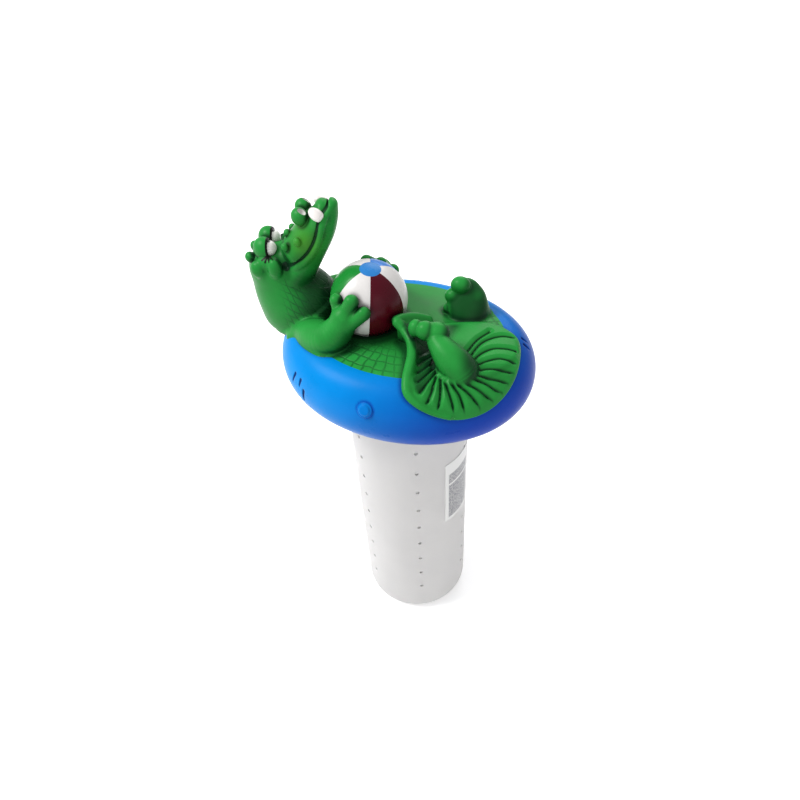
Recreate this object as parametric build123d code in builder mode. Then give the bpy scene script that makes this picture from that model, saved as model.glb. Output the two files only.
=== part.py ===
from build123d import *
import math
import os

# A floating chlorine dispenser: a drum that holds tablets, hanging under a hollow float
# shaped as an alligator that lies on its back in a swim ring with a beach ball.
# Sizes are in millimetres. The origin is the centre of the drum's underside, +Z is the
# drum's axis, +X runs from the animal's head to its tail and -Y is the side of its right hand.

# ------------------------------------------------------------------ driving sizes

drum_radius = 45.0
drum_top = 236.0
drum_corner = 10.0
sleeve_wall = 1.7
running_gap = 0.06

cup_wall = 1.8
cup_floor = 2.4
flange_low = 236.3
flange_high = 239.0

neck_radius = 41.0
neck_bore = 39.2
neck_top = 262.0

feed_hole_radius = 1.5
feed_rows = 6
feed_holes_per_row = 9
feed_pitch = 21.8
feed_lowest = 38.5
feed_first_angle = -61.0

snap_height = 226.0
snap_rise = 0.6
snap_half_width = 1.2

stop_angle = 65.0
stop_width_angle = 6.0
stop_drop = 3.6
flow_travel = 30.0

thread_lead = 24.0
thread_starts = 4
lug_height = 2.4
lug_span_angle = 40.0
lug_z = 253.0
lug_outer = 42.8
lug_inner = 41.3
lug_step = 2.55

socket_bore = 43.1
socket_radius = 46.0
socket_low = 239.6
socket_ceiling = 264.0
socket_lid = 3.0
socket_foot_radius = 52.0
socket_foot = 1.2

ring_length = 180.0
ring_width = 144.0
ring_middle = 266.0
ring_half_height = 25.0
ring_edge = 20.0
shell_wall = 2.4

deck_length = 153.0
deck_width = 116.0
deck_floor = 283.0
deck_top = 289.5
deck_edge = 4.0
deck_wall = 2.4
seam_gap = 0.15

plug_place = (3.0, -70.0, 277.0)
plug_direction = (0.02, -0.88, 0.47)
plug_radius = 4.8
plug_proud = 1.6
plug_depth = 2.0

ball_centre = (-22.5, -4.0, 311.0)
ball_radius = 25.5
ball_wall = 1.6

skin = 2.2
limb_waist = 0.97
egg_cut = 0.985

label_start_angle = -32.0
label_sweep_angle = 39.0
label_low = 122.0
label_high = 190.0
label_thickness = 0.25

os.makedirs("parts", exist_ok=True)


# ------------------------------------------------------------------ shared shapes

def drum(radius, low, high, corner, mode=Mode.ADD):
    """An upright round drum on the Z axis with a rounded lower edge."""
    with BuildSketch(Plane.XZ) as outline:
        with Locations((radius / 2, (low + high) / 2)):
            Rectangle(radius, high - low)
        if corner > 0:
            lower_edge = outline.vertices().group_by(Axis.Y)[0].sort_by(Axis.X)[-1]
            fillet(lower_edge, corner)
    revolve(outline.sketch, axis=Axis.Z, mode=mode)


def band(inner_radius, outer_radius, low, high, mode=Mode.ADD):
    """A plain round band on the Z axis."""
    with BuildSketch(Plane.XY.offset(low)) as outline:
        Circle(outer_radius)
        Circle(inner_radius, mode=Mode.SUBTRACT)
    extrude(outline.sketch, amount=high - low, mode=mode)


def oval_pad(length, width, low, high, edge, rounded_top):
    """An oval pad with vertical sides and one rounded rim, made in a block of its own."""
    with BuildPart() as pad:
        with BuildSketch(Plane.XY.offset(low)):
            Ellipse(length / 2, width / 2)
        extrude(amount=high - low)
        if rounded_top:
            rim = pad.edges().group_by(Axis.Z)[-1]
        else:
            rim = pad.edges().group_by(Axis.Z)[0]
        fillet(rim, edge)
    return pad.part


def unit(direction):
    """The direction scaled to length one."""
    return Vector(*direction).normalized()


def egg(centre, direction, half_length, radius, shrink=0.0, mode=Mode.ADD):
    """A solid of revolution with an elliptical outline and tiny flats at its two ends."""
    along = unit(direction)
    across = Vector(0, 1, 0) if abs(along.Y) < 0.9 else Vector(0, 0, 1)
    plane = Plane(origin=centre, x_dir=along, z_dir=along.cross(across))
    with BuildSketch(plane) as outline:
        Ellipse(half_length - shrink, radius - shrink)
        with Locations((0, radius)):
            Rectangle(2 * egg_cut * (half_length - shrink), 2 * radius, mode=Mode.INTERSECT)
    revolve(outline.sketch, axis=Axis(centre, along), mode=mode)


def eggs(lumps, shrink=0.0, mode=Mode.ADD):
    """Several eggs, each given as centre, direction, half length and radius."""
    for centre, direction, half_length, radius in lumps:
        egg(centre, direction, half_length, radius, shrink, mode)


def largest(part):
    """The biggest solid, without slivers left by trimming."""
    return part.solids().sort_by(SortBy.VOLUME)[-1]


def limb(stations, shrink=0.0, mode=Mode.ADD):
    """A tapering tube with ball joints, through stations given as centre and radius."""
    for centre, radius in stations:
        with Locations(centre):
            Sphere(radius - shrink, mode=mode)
    for (start, start_radius), (end, end_radius) in zip(stations, stations[1:]):
        along = Vector(*end) - Vector(*start)
        with Locations(Plane(origin=start, z_dir=along)):
            Cone(
                limb_waist * (start_radius - shrink),
                limb_waist * (end_radius - shrink),
                along.length,
                align=(Align.CENTER, Align.CENTER, Align.MIN),
                mode=mode,
            )


def lug(start_angle, middle_z, inner_radius, outer_radius):
    """One short thread: a curved strip that leans at the thread's angle."""
    tilt = math.degrees(math.atan(thread_lead / (2 * math.pi * neck_radius)))
    half_width = outer_radius * math.sin(math.radians(lug_span_angle / 2))
    seat = Location((0, 0, middle_z), (0, 0, start_angle)) * Location((0, 0, 0), (tilt, 0, 0))
    with BuildSketch(Plane(seat)) as strip:
        Circle(outer_radius)
        Circle(inner_radius, mode=Mode.SUBTRACT)
        Rectangle(
            outer_radius + 2,
            2 * half_width,
            align=(Align.MIN, Align.CENTER),
            mode=Mode.INTERSECT,
        )
    extrude(strip.sketch, amount=lug_height / 2, both=True)


# ------------------------------------------------------------------ the tablet drum

def feed_holes(outer_radius, inner_radius):
    """Rows of small round water holes around the drum wall."""
    for row in range(feed_rows):
        angle = feed_first_angle + row * 360.0 / feed_rows
        outward = Vector(math.cos(math.radians(angle)), math.sin(math.radians(angle)), 0)
        for level in range(feed_holes_per_row):
            height = feed_lowest + level * feed_pitch
            foot = outward * (inner_radius - 1) + Vector(0, 0, height)
            with BuildSketch(Plane(origin=foot, z_dir=outward)) as hole:
                Circle(feed_hole_radius)
            extrude(hole.sketch, amount=outer_radius - inner_radius + 2, mode=Mode.SUBTRACT)


def snap_bead(radius, mode=Mode.ADD):
    """A low bead around the wall that keeps the sleeve on the cup."""
    with BuildSketch(Plane.XZ) as outline:
        with BuildLine():
            Polyline(
                (radius - 0.5, snap_height - 2 * snap_half_width),
                (radius, snap_height - 2 * snap_half_width),
                (radius + snap_rise, snap_height - snap_half_width / 2),
                (radius + snap_rise, snap_height + snap_half_width / 2),
                (radius, snap_height + 2 * snap_half_width),
                (radius - 0.5, snap_height + 2 * snap_half_width),
                close=True,
            )
        make_face()
    revolve(outline.sketch, axis=Axis.Z, mode=mode)


def sector_block(start_angle, sweep_angle, inner_radius, outer_radius, low, high, mode):
    """A curved block that covers part of a turn around the Z axis."""
    start = math.radians(start_angle)
    outward = (math.cos(start), math.sin(start), 0)
    backward = (math.sin(start), -math.cos(start), 0)
    with BuildSketch(Plane(origin=(0, 0, 0), x_dir=outward, z_dir=backward)) as outline:
        with Locations(((inner_radius + outer_radius) / 2, (low + high) / 2)):
            Rectangle(outer_radius - inner_radius, high - low)
    revolve(outline.sketch, axis=Axis.Z, revolution_arc=sweep_angle, mode=mode)


sleeve_bore = drum_radius - sleeve_wall
cup_radius = sleeve_bore - running_gap
cup_base = sleeve_wall + 0.3

# Outer sleeve: turns on the cup to cover or uncover the water holes.
with BuildPart() as flow_sleeve:
    drum(drum_radius, 0, drum_top, drum_corner)
    drum(sleeve_bore, sleeve_wall, drum_top + 1, drum_corner - sleeve_wall, Mode.SUBTRACT)
    snap_bead(sleeve_bore, Mode.SUBTRACT)
    feed_holes(drum_radius, sleeve_bore)
    sector_block(
        stop_angle,
        flow_travel + stop_width_angle + 1.0,
        sleeve_bore - 1,
        drum_radius + 1,
        drum_top - stop_drop - 0.6,
        drum_top + 1,
        Mode.SUBTRACT,
    )
flow_sleeve.part.label = "flow_sleeve"
export_step(flow_sleeve.part, "parts/flow_sleeve.step")

# Inner cup: holds the tablets, with a threaded neck and a stop tab under its flange.
with BuildPart() as canister_cup:
    drum(cup_radius, cup_base, flange_low, drum_corner - sleeve_wall - 0.2)
    snap_bead(cup_radius)
    band(neck_bore, drum_radius, flange_low, flange_high)
    band(neck_bore, neck_radius, flange_low, neck_top)
    drum(
        cup_radius - cup_wall,
        cup_base + cup_floor,
        flange_low - 3,
        drum_corner - sleeve_wall - cup_wall,
        Mode.SUBTRACT,
    )
    drum(neck_bore, cup_base + cup_floor, neck_top + 1, drum_corner, Mode.SUBTRACT)
    feed_holes(cup_radius, cup_radius - cup_wall)
    for start in range(thread_starts):
        lug(start * 360.0 / thread_starts, lug_z, neck_radius - 0.4, lug_outer)
    sector_block(
        stop_angle + 0.5 + flow_travel,
        stop_width_angle,
        cup_radius - 0.4,
        drum_radius,
        drum_top - stop_drop,
        flange_low + 0.2,
        Mode.ADD,
    )
canister_cup.part.label = "canister_cup"
export_step(canister_cup.part, "parts/canister_cup.step")

# Blank printed patch on the outside of the sleeve.
with BuildPart() as label:
    sector_block(
        label_start_angle,
        label_sweep_angle,
        drum_radius,
        drum_radius + label_thickness,
        label_low,
        label_high,
        Mode.ADD,
    )
label.part.label = "label"
export_step(label.part, "parts/label.step")

# Flat ring seal between the neck's rim and the socket's ceiling.
with BuildPart() as gasket:
    band(neck_bore + 0.2, socket_bore - 0.3, neck_top, socket_ceiling)
gasket.part.label = "gasket"
export_step(gasket.part, "parts/gasket.step")

# ------------------------------------------------------------------ the float's ring

# Threaded socket under the float: a collar with a closed top and a glued foot.
with BuildPart() as threaded_socket:
    band(socket_bore, socket_radius, socket_low, socket_ceiling)
    with BuildSketch(Plane.XY.offset(socket_ceiling)):
        Circle(socket_radius)
    extrude(amount=socket_lid)
    band(socket_bore, socket_foot_radius, socket_low, socket_low + socket_foot)
    for start in range(thread_starts):
        lug(
            start * 360.0 / thread_starts,
            lug_z - lug_step,
            lug_inner,
            socket_bore + 0.4,
        )
threaded_socket.part.label = "threaded_socket"
export_step(threaded_socket.part, "parts/threaded_socket.step")

ring_low = ring_middle - ring_half_height
ring_high = ring_middle + ring_half_height


def plug_rod(radius, inward, outward, mode):
    """A round rod on the vent plug's axis, from inside the shell to outside."""
    axis_direction = unit(plug_direction)
    foot = Vector(*plug_place) - axis_direction * inward
    with BuildSketch(Plane(origin=foot, z_dir=axis_direction)) as disc:
        Circle(radius)
    extrude(disc.sketch, amount=inward + outward, mode=mode)


ring_lower_blank = oval_pad(
    ring_length, ring_width, ring_low, ring_middle, ring_edge, False
)
ring_lower_void = oval_pad(
    ring_length - 2 * shell_wall,
    ring_width - 2 * shell_wall,
    ring_low + shell_wall,
    ring_middle + 1,
    ring_edge - shell_wall,
    False,
)
ring_upper_blank = oval_pad(
    ring_length, ring_width, ring_middle, ring_high, ring_edge, True
)

# Hollow of the upper half: it passes under the sunk deck.
with BuildPart() as ring_upper_void:
    add(
        oval_pad(
            ring_length - 2 * shell_wall,
            ring_width - 2 * shell_wall,
            ring_middle - 1,
            ring_high - shell_wall,
            ring_edge - shell_wall,
            True,
        )
    )
    with BuildSketch(Plane.XY.offset(deck_floor - shell_wall)):
        Ellipse(deck_length / 2 + shell_wall, deck_width / 2 + shell_wall)
    extrude(amount=ring_half_height, mode=Mode.SUBTRACT)

# Lower half of the hollow swim ring.
with BuildPart() as ring_lower_shell:
    add(ring_lower_blank)
    add(ring_lower_void, mode=Mode.SUBTRACT)
    with BuildSketch(Plane.XY.offset(ring_low - 1)):
        Circle(socket_radius + 0.05)
    extrude(amount=shell_wall + 2, mode=Mode.SUBTRACT)
ring_lower_shell.part.label = "ring_lower_shell"
export_step(ring_lower_shell.part, "parts/ring_lower_shell.step")

# Upper half of the swim ring, with a sunk deck that the animal is bonded into.
with BuildPart() as ring_upper_shell:
    add(ring_upper_blank)
    with BuildSketch(Plane.XY.offset(deck_floor)):
        Ellipse(deck_length / 2 + seam_gap, deck_width / 2 + seam_gap)
    extrude(amount=ring_half_height, mode=Mode.SUBTRACT)
    add(ring_upper_void.part, mode=Mode.SUBTRACT)
    plug_rod(plug_radius + 0.05, plug_depth, 4, Mode.SUBTRACT)
ring_upper_shell.part.label = "ring_upper_shell"
export_step(ring_upper_shell.part, "parts/ring_upper_shell.step")

# Round plug pressed into the filling hole at the front of the ring.
with BuildPart() as vent_plug:
    plug_rod(plug_radius, plug_depth, plug_proud, Mode.ADD)
    outer_rim = vent_plug.edges().filter_by(GeomType.CIRCLE).sort_by(Axis.Y)[0]
    fillet(outer_rim, 1.2)
vent_plug.part.label = "vent_plug"
export_step(vent_plug.part, "parts/vent_plug.step")

# ------------------------------------------------------------------ the animal's shapes

# Lump shapes: centre, direction, half length, radius.
belly_lumps = [
    ((-4, 0, 274), (1, 0, 0), 62, 22),
]
neck_stations = [
    ((-56, -2, 288), 19),
    ((-74, -2, 293), 21.5),
    ((-90, -1, 303), 23),
    ((-93, 0, 318), 21),
]
head_lumps = [
    ((-92, 0, 329), (0.3, 0, 1), 25, 22),
    ((-69, 3, 350), (0.72, 0.12, 0.69), 33, 15),
    ((-48, 5, 363.5), (0.6, 0.12, 0.8), 12, 9.5),
    ((-99, 0, 345), (0, 1, 0), 17, 9),
]
jaw_lumps = [
    ((-58, 3, 344), (0.42, 0.1, 0.9), 32, 13),
    ((-66, 1, 330), (0.3, 0, 1), 15, 14),
]
eye_size = (5.5, 6.5)
eye_places = [("right", (-88, -11, 343)), ("left", (-92, 8, 345))]
tooth_places = [("right", (-50.5, -8, 366.5)), ("left", (-53.5, 17, 367.5))]
tooth_half_length = 5.0
tooth_radius = 3.2
tooth_direction = (0.5, 0, 0.8)
gaze = (0.2, -0.6, 0.8)
lid_thickness = 2.2
lid_opening = (0.8, -0.4, 0.1)

# Each arm runs from the shoulder to the palm, then three fingers lie on the ball.
arm_right_stations = [
    ((-60, -26, 292), 14.5),
    ((-46, -31, 296), 12.5),
    ((-34, -27, 306), 10),
]
hand_right_lumps = [
    ((-31, -25, 310), (0.3, 0.3, 0.9), 12, 9.5),
    ((-31, -24, 320), (0.2, 0.5, 0.8), 9, 4.6),
    ((-22, -27, 317), (0.6, 0.3, 0.7), 9, 4.6),
    ((-15, -28, 309), (0.8, 0.2, 0.4), 9, 4.6),
]
arm_left_stations = [
    ((-60, 26, 292), 14.5),
    ((-46, 31, 297), 12.5),
    ((-33, 27, 309), 10),
]
hand_left_lumps = [
    ((-28, 22, 318), (0.4, -0.4, 0.8), 12, 9.5),
    ((-26, 15, 331), (0.4, -0.8, 0.5), 9, 4.6),
    ((-16, 16, 329), (0.6, -0.8, 0.4), 9, 4.6),
    ((-8, 17, 323), (0.8, -0.6, 0.2), 9, 4.6),
]
leg_right_stations = [
    ((52, -24, 292), 15),
    ((44, -21, 301), 11),
    ((36, -19, 307), 8),
]
foot_right_lumps = [
    ((32, -19, 309), (-0.6, 0, 0.7), 12, 9),
    ((24, -22, 313), (-1, -0.1, 0.5), 7, 4.2),
    ((29, -22, 317), (-0.8, -0.1, 0.8), 7, 4.2),
]
leg_left_stations = [
    ((50, 26, 290), 13),
    ((44, 27, 297), 10.5),
    ((40, 28, 303), 8.5),
]
foot_left_lumps = [
    ((36, 28, 308), (-0.2, 0.1, 1), 14, 10),
    ((26, 27, 306), (-1, 0, 0.5), 7, 4.4),
    ((29, 29, 315), (-0.7, 0, 0.9), 7, 4.4),
    ((35, 31, 319), (-0.1, 0, 1), 7, 4.4),
]

# The tail lies as a broad, flat crescent over the front of the ring, and its tip stands up.
tail_lumps = [
    ((62, 20, 284), (0, 0, 1), 9, 14),
    ((66, -4, 284), (0.2, 0, 1), 10, 17),
    ((62, -24, 283), (0.2, -0.15, 1), 12, 21),
    ((50, -36, 283), (0.15, -0.2, 1), 13, 24),
    ((35, -42, 284), (0, -0.2, 1), 12, 20),
    ((23, -42, 286), (-0.1, -0.1, 1), 10, 15),
]
tail_tip_stations = [
    ((25, -46, 286), 9),
    ((16, -32, 292), 7.5),
    ((9, -23, 298), 5.5),
    ((4, -18, 305), 3),
]


# Solid outsides of the large shapes. They are used to trim whatever is bonded to them.
with BuildPart() as belly:
    eggs(belly_lumps)
    with BuildSketch(Plane.XY.offset(deck_floor)):
        Ellipse(deck_length / 2, deck_width / 2)
    extrude(amount=ring_half_height, mode=Mode.INTERSECT)

deck_blank = oval_pad(deck_length, deck_width, deck_floor, deck_top, deck_edge, True)
deck_void = oval_pad(
    deck_length - 2 * deck_wall,
    deck_width - 2 * deck_wall,
    deck_floor - 1,
    deck_top - deck_wall,
    deck_edge - deck_wall,
    True,
)

with BuildPart() as deck_solid:
    add(deck_blank)
    add(belly.part)

with BuildPart() as ring_solid:
    with BuildSketch(Plane.XY.offset(ring_low)):
        Ellipse(ring_length / 2, ring_width / 2)
    extrude(amount=2 * ring_half_height)
    fillet(ring_solid.edges().group_by(Axis.Z)[0], ring_edge)
    fillet(ring_solid.edges().group_by(Axis.Z)[-1], ring_edge)
    with BuildSketch(Plane.XY.offset(deck_floor)):
        Ellipse(deck_length / 2, deck_width / 2)
    extrude(amount=ring_half_height, mode=Mode.SUBTRACT)

with BuildPart() as ball_solid:
    with Locations(ball_centre):
        Sphere(ball_radius)

with BuildPart() as neck_solid:
    limb(neck_stations)

with BuildPart() as head_solid:
    eggs(head_lumps)

with BuildPart() as face_pockets:
    for side, place in eye_places:
        egg(place, gaze, eye_size[1] + lid_thickness, eye_size[0] + lid_thickness)
    for side, place in tooth_places:
        egg(place, tooth_direction, tooth_half_length, tooth_radius)

with BuildPart() as jaw_solid:
    eggs(jaw_lumps)

with BuildPart() as tail_solid:
    eggs(tail_lumps)
    limb(tail_tip_stations)

# ------------------------------------------------------------------ the animal's pieces

# Belly and back: a hollow green shell bonded into the sunk deck.
with BuildPart() as torso_shell:
    add(deck_solid.part)
    add(deck_void, mode=Mode.SUBTRACT)
torso_shell.part.label = "torso_shell"
export_step(torso_shell.part, "parts/torso_shell.step")

# Neck: curls up over the left end of the ring.
with BuildPart() as neck:
    limb(neck_stations)
    limb(neck_stations, skin, Mode.SUBTRACT)
    add(deck_solid.part, mode=Mode.SUBTRACT)
    add(ring_solid.part, mode=Mode.SUBTRACT)
    add(ball_solid.part, mode=Mode.SUBTRACT)
    add(face_pockets.part, mode=Mode.SUBTRACT)
neck.part.label = "neck"
export_step(neck.part, "parts/neck.step")

# Upper head with the snout, hollow inside.
with BuildPart() as head_shell:
    eggs(head_lumps)
    eggs(head_lumps[:2], skin, Mode.SUBTRACT)
    add(neck_solid.part, mode=Mode.SUBTRACT)
    add(jaw_solid.part, mode=Mode.SUBTRACT)
    add(face_pockets.part, mode=Mode.SUBTRACT)
head_shell.part.label = "head_shell"
export_step(head_shell.part, "parts/head_shell.step")

# Lower jaw and throat.
with BuildPart() as lower_jaw:
    eggs(jaw_lumps)
    eggs(jaw_lumps, skin, Mode.SUBTRACT)
    add(neck_solid.part, mode=Mode.SUBTRACT)
    add(face_pockets.part, mode=Mode.SUBTRACT)
lower_jaw.part.label = "lower_jaw"
export_step(lower_jaw.part, "parts/lower_jaw.step")


def eye_piece(name, place):
    """One white eye."""
    with BuildPart() as eye:
        egg(place, gaze, eye_size[1], eye_size[0])
    eye.part.label = name
    export_step(eye.part, "parts/" + name + ".step")


def eyelid_piece(name, place):
    """One heavy lid, wrapped over the upper back half of an eye."""
    with BuildPart() as lid:
        egg(place, gaze, eye_size[1] + lid_thickness, eye_size[0] + lid_thickness)
        egg(place, gaze, eye_size[1], eye_size[0], mode=Mode.SUBTRACT)
        with BuildSketch(Plane(origin=place, z_dir=lid_opening)) as cut:
            Circle(4 * eye_size[1])
        extrude(cut.sketch, amount=4 * eye_size[1], mode=Mode.SUBTRACT)
    lid.part.label = name
    export_step(lid.part, "parts/" + name + ".step")


def tooth_piece(name, place):
    """One blunt white tooth at the front of the mouth."""
    with BuildPart() as tooth:
        egg(place, tooth_direction, tooth_half_length, tooth_radius)
    tooth.part.label = name
    export_step(tooth.part, "parts/" + name + ".step")


for side, place in eye_places:
    eye_piece("eye_" + side, place)
    eyelid_piece("eyelid_" + side, place)
for side, place in tooth_places:
    tooth_piece("tooth_" + side, place)


def write_piece(name, raw_part):
    """Keep the main solid of a trimmed piece and write it."""
    with BuildPart() as piece:
        add(largest(raw_part))
    piece.part.label = name
    export_step(piece.part, "parts/" + name + ".step")


def arm_piece(name, stations, hand_lumps):
    """One arm with its hand on the ball."""
    with BuildPart() as arm:
        limb(stations)
        eggs(hand_lumps)
        add(ball_solid.part, mode=Mode.SUBTRACT)
        add(deck_solid.part, mode=Mode.SUBTRACT)
        add(ring_solid.part, mode=Mode.SUBTRACT)
        add(neck_solid.part, mode=Mode.SUBTRACT)
        add(jaw_solid.part, mode=Mode.SUBTRACT)
    write_piece(name, arm.part)


def leg_piece(name, stations, foot_lumps):
    """One leg that stands up from the deck, with its foot."""
    with BuildPart() as leg:
        limb(stations)
        eggs(foot_lumps)
        add(deck_solid.part, mode=Mode.SUBTRACT)
        add(ring_solid.part, mode=Mode.SUBTRACT)
        add(tail_solid.part, mode=Mode.SUBTRACT)
    write_piece(name, leg.part)


arm_piece("arm_right", arm_right_stations, hand_right_lumps)
arm_piece("arm_left", arm_left_stations, hand_left_lumps)
leg_piece("leg_right", leg_right_stations, foot_right_lumps)
leg_piece("leg_left", leg_left_stations, foot_left_lumps)

# Tail: curls around the front of the deck and over the ring.
with BuildPart() as trimmed_tail:
    add(tail_solid.part)
    add(deck_solid.part, mode=Mode.SUBTRACT)
    add(ring_solid.part, mode=Mode.SUBTRACT)
write_piece("tail", trimmed_tail.part)

# Beach ball: a hollow sphere held on the belly.
with BuildPart() as beach_ball:
    add(ball_solid.part)
    with Locations(ball_centre):
        Sphere(ball_radius - ball_wall, mode=Mode.SUBTRACT)
    add(deck_solid.part, mode=Mode.SUBTRACT)
beach_ball.part.label = "beach_ball"
export_step(beach_ball.part, "parts/beach_ball.step")
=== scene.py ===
import math

import bpy
import numpy as np
import openvdb
from mathutils import Matrix, Vector


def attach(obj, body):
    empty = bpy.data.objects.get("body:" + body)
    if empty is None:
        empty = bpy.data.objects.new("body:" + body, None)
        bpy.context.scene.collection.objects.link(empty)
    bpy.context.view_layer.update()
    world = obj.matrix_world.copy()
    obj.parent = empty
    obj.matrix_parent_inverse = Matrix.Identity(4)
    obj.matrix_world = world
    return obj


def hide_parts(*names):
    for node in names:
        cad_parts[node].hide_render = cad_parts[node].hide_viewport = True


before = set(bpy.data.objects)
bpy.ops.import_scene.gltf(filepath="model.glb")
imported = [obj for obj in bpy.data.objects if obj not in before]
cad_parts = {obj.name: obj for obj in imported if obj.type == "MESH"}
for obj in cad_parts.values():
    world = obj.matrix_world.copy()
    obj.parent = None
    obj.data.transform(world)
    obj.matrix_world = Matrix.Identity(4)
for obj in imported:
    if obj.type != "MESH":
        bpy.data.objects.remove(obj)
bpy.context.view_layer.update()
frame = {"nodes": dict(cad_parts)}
MM = 0.001
DETAIL = 1.0

# Sizes in millimetres, in the same frame as the CAD.
RING_HALF_LENGTH, RING_HALF_WIDTH = 90.0, 72.0
RING_MIDDLE, RING_HALF_HEIGHT, RING_TUBE = 266.0, 25.0, 20.0
DECK_HALF_LENGTH, DECK_HALF_WIDTH = 76.5, 58.0
DECK_UNDER_Z, DECK_EDGE_Z, DECK_DOME = 284.0, 290.2, 4.0
BALL_CENTRE = np.array([-22.5, -4.0, 311.0])
BALL_RADIUS = 25.5


# ---------------------------------------------------------------- distance fields

def norm(q):
    return np.sqrt(np.einsum("ij,ij->i", q, q))


def smin(a, b, k):
    h = np.clip(0.5 + 0.5 * (b - a) / k, 0.0, 1.0)
    return b + (a - b) * h - k * h * (1.0 - h)


def smax(a, b, k):
    return -smin(-a, -b, k)


def ball(P, c, r):
    return norm(P - np.asarray(c, float)) - r


def ellipsoid(P, c, r, axes=None):
    """Approximate distance to an ellipsoid. axes: rows are its three directions."""
    q = P - np.asarray(c, float)
    if axes is not None:
        q = q @ np.asarray(axes, float).T
    r = np.asarray(r, float)
    k0 = norm(q / r)
    k1 = norm(q / (r * r)) + 1e-9
    return k0 * (k0 - 1.0) / k1


def cone(P, a, b, ra, rb):
    a, b = np.asarray(a, float), np.asarray(b, float)
    d = b - a
    t = np.clip(((P - a) @ d) / (d @ d), 0.0, 1.0)
    return norm(P - a - t[:, None] * d) - (ra + (rb - ra) * t)


def spline(points, n=6):
    """Catmull-Rom through rows of numbers."""
    p = np.asarray(points, float)
    p = np.vstack([2 * p[0] - p[1], p, 2 * p[-1] - p[-2]])
    out = []
    for i in range(1, len(p) - 2):
        for t in np.linspace(0, 1, n, endpoint=False):
            a, b, c, d = p[i - 1], p[i], p[i + 1], p[i + 2]
            out.append(
                0.5 * ((2 * b) + (c - a) * t + (2 * a - 5 * b + 4 * c - d) * t * t
                       + (3 * b - 3 * c + d - a) * t ** 3)
            )
    out.append(p[-2])
    return np.array(out)


def tube(P, stations, n=5):
    """A tube through rows of x, y, z, radius."""
    path = spline(stations, n)
    out = np.full(len(P), 1e3)
    for a, b in zip(path, path[1:]):
        out = np.minimum(out, cone(P, a[:3], b[:3], a[3], b[3]))
    return out


def smoothstep(x, a, b):
    t = np.clip((x - a) / (b - a), 0.0, 1.0)
    return t * t * (3 - 2 * t)


def unit(v):
    v = np.asarray(v, float)
    return v / np.sqrt(v @ v)


# ---------------------------------------------------------------- the ring and the deck

def oval_distance(P, a, b):
    """Signed distance in plan to an oval with half axes a and b."""
    x, y = np.abs(P[:, 0]), np.abs(P[:, 1])
    t = np.arctan2(y * a, x * b)
    for _ in range(3):
        c, s = np.cos(t), np.sin(t)
        ex, ey = a * c, b * s
        dx, dy = x - ex, y - ey
        tx, ty = -a * s, b * c
        g = dx * tx + dy * ty
        h = tx * tx + ty * ty + dx * ex + dy * ey
        t = np.clip(t + g / np.maximum(h, 1.0), 0, math.pi / 2)
    c, s = np.cos(t), np.sin(t)
    d = np.hypot(x - a * c, y - b * s)
    return np.where((x / a) ** 2 + (y / b) ** 2 < 1, -d, d)


def ring_field(P):
    out = np.maximum(
        oval_distance(P, RING_HALF_LENGTH - RING_TUBE, RING_HALF_WIDTH - RING_TUBE), 0
    )
    z = P[:, 2] - RING_MIDDLE
    e = np.sqrt((out / RING_TUBE) ** 2 + (z / RING_HALF_HEIGHT) ** 2)
    g = np.sqrt((out / RING_TUBE ** 2) ** 2 + (z / RING_HALF_HEIGHT ** 2) ** 2) + 1e-9
    return e * (e - 1.0) / g


def deck_field(P):
    rho2 = (P[:, 0] / DECK_HALF_LENGTH) ** 2 + (P[:, 1] / DECK_HALF_WIDTH) ** 2
    top = P[:, 2] - (DECK_EDGE_Z + DECK_DOME * (1 - np.minimum(rho2, 1.2)))
    side = oval_distance(P, DECK_HALF_LENGTH, DECK_HALF_WIDTH)
    f = smax(top, side, 3.0)
    return smax(f, DECK_UNDER_Z - P[:, 2], 1.0)


# ---------------------------------------------------------------- the head

YAW = math.radians(10.0)
HEAD_ORIGIN = np.array([-88.0, -4.0, 0.0])
SIDE_TURN = math.radians(20.0)
# The head's forward, sideways and upward directions. Sideways is turned further.
HEAD_AXES = np.array([
    [math.cos(YAW), math.sin(YAW), 0],
    [-math.sin(SIDE_TURN), math.cos(SIDE_TURN), 0],
    [0, 0, 1],
])
HEAD_INVERSE = np.linalg.inv(HEAD_AXES)


def to_head(P):
    return (P - HEAD_ORIGIN) @ HEAD_INVERSE


def from_head(q):
    return np.asarray(q, float) @ HEAD_AXES + HEAD_ORIGIN


# Places on the head: forward, to the side, up. The far side mirrors the near side.
EYE_CENTRE = (-3.6, 7.2, 339.7)
EYE_RADIUS = 5.1
LID_CENTRE, LID_RADII = (-6.5, 7.5, 339.1), (8.0, 7.3, 8.0)
NOSTRIL_PIT, NOSTRIL_RADII = (24.0, 8.0, 367.4), (2.9, 1.9, 2.2)
WART_RADIUS = 2.8
WARTS = [
    (10.3, -2.9, 349.2), (19.2, -13.9, 349.6), (9.8, -13.1, 344.7), (19.2, 13.9, 349.6),
    (9.8, 13.1, 344.7),
]
MOUTH_LINE = [
    (40.6, 0.0, 372.0), (40.1, 4.6, 370.6), (37.2, 9.2, 367.4), (35.0, 12.6, 363.4),
    (33.8, 13.0, 359.6), (31.8, 12.8, 354.0), (28.9, 13.2, 348.3), (24.9, 14.0, 342.8),
    (20.1, 15.1, 338.2), (14.8, 15.3, 334.6), (10.2, 13.6, 331.6),
]
MOUTH_CORNER = (8.2, 13.4, 330.9)


def squeeze(Q, k):
    """Scales the sideways direction by k, so that a round shape comes out 1 / k as wide."""
    q = Q.copy()
    q[:, 1] *= k
    return q


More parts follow.
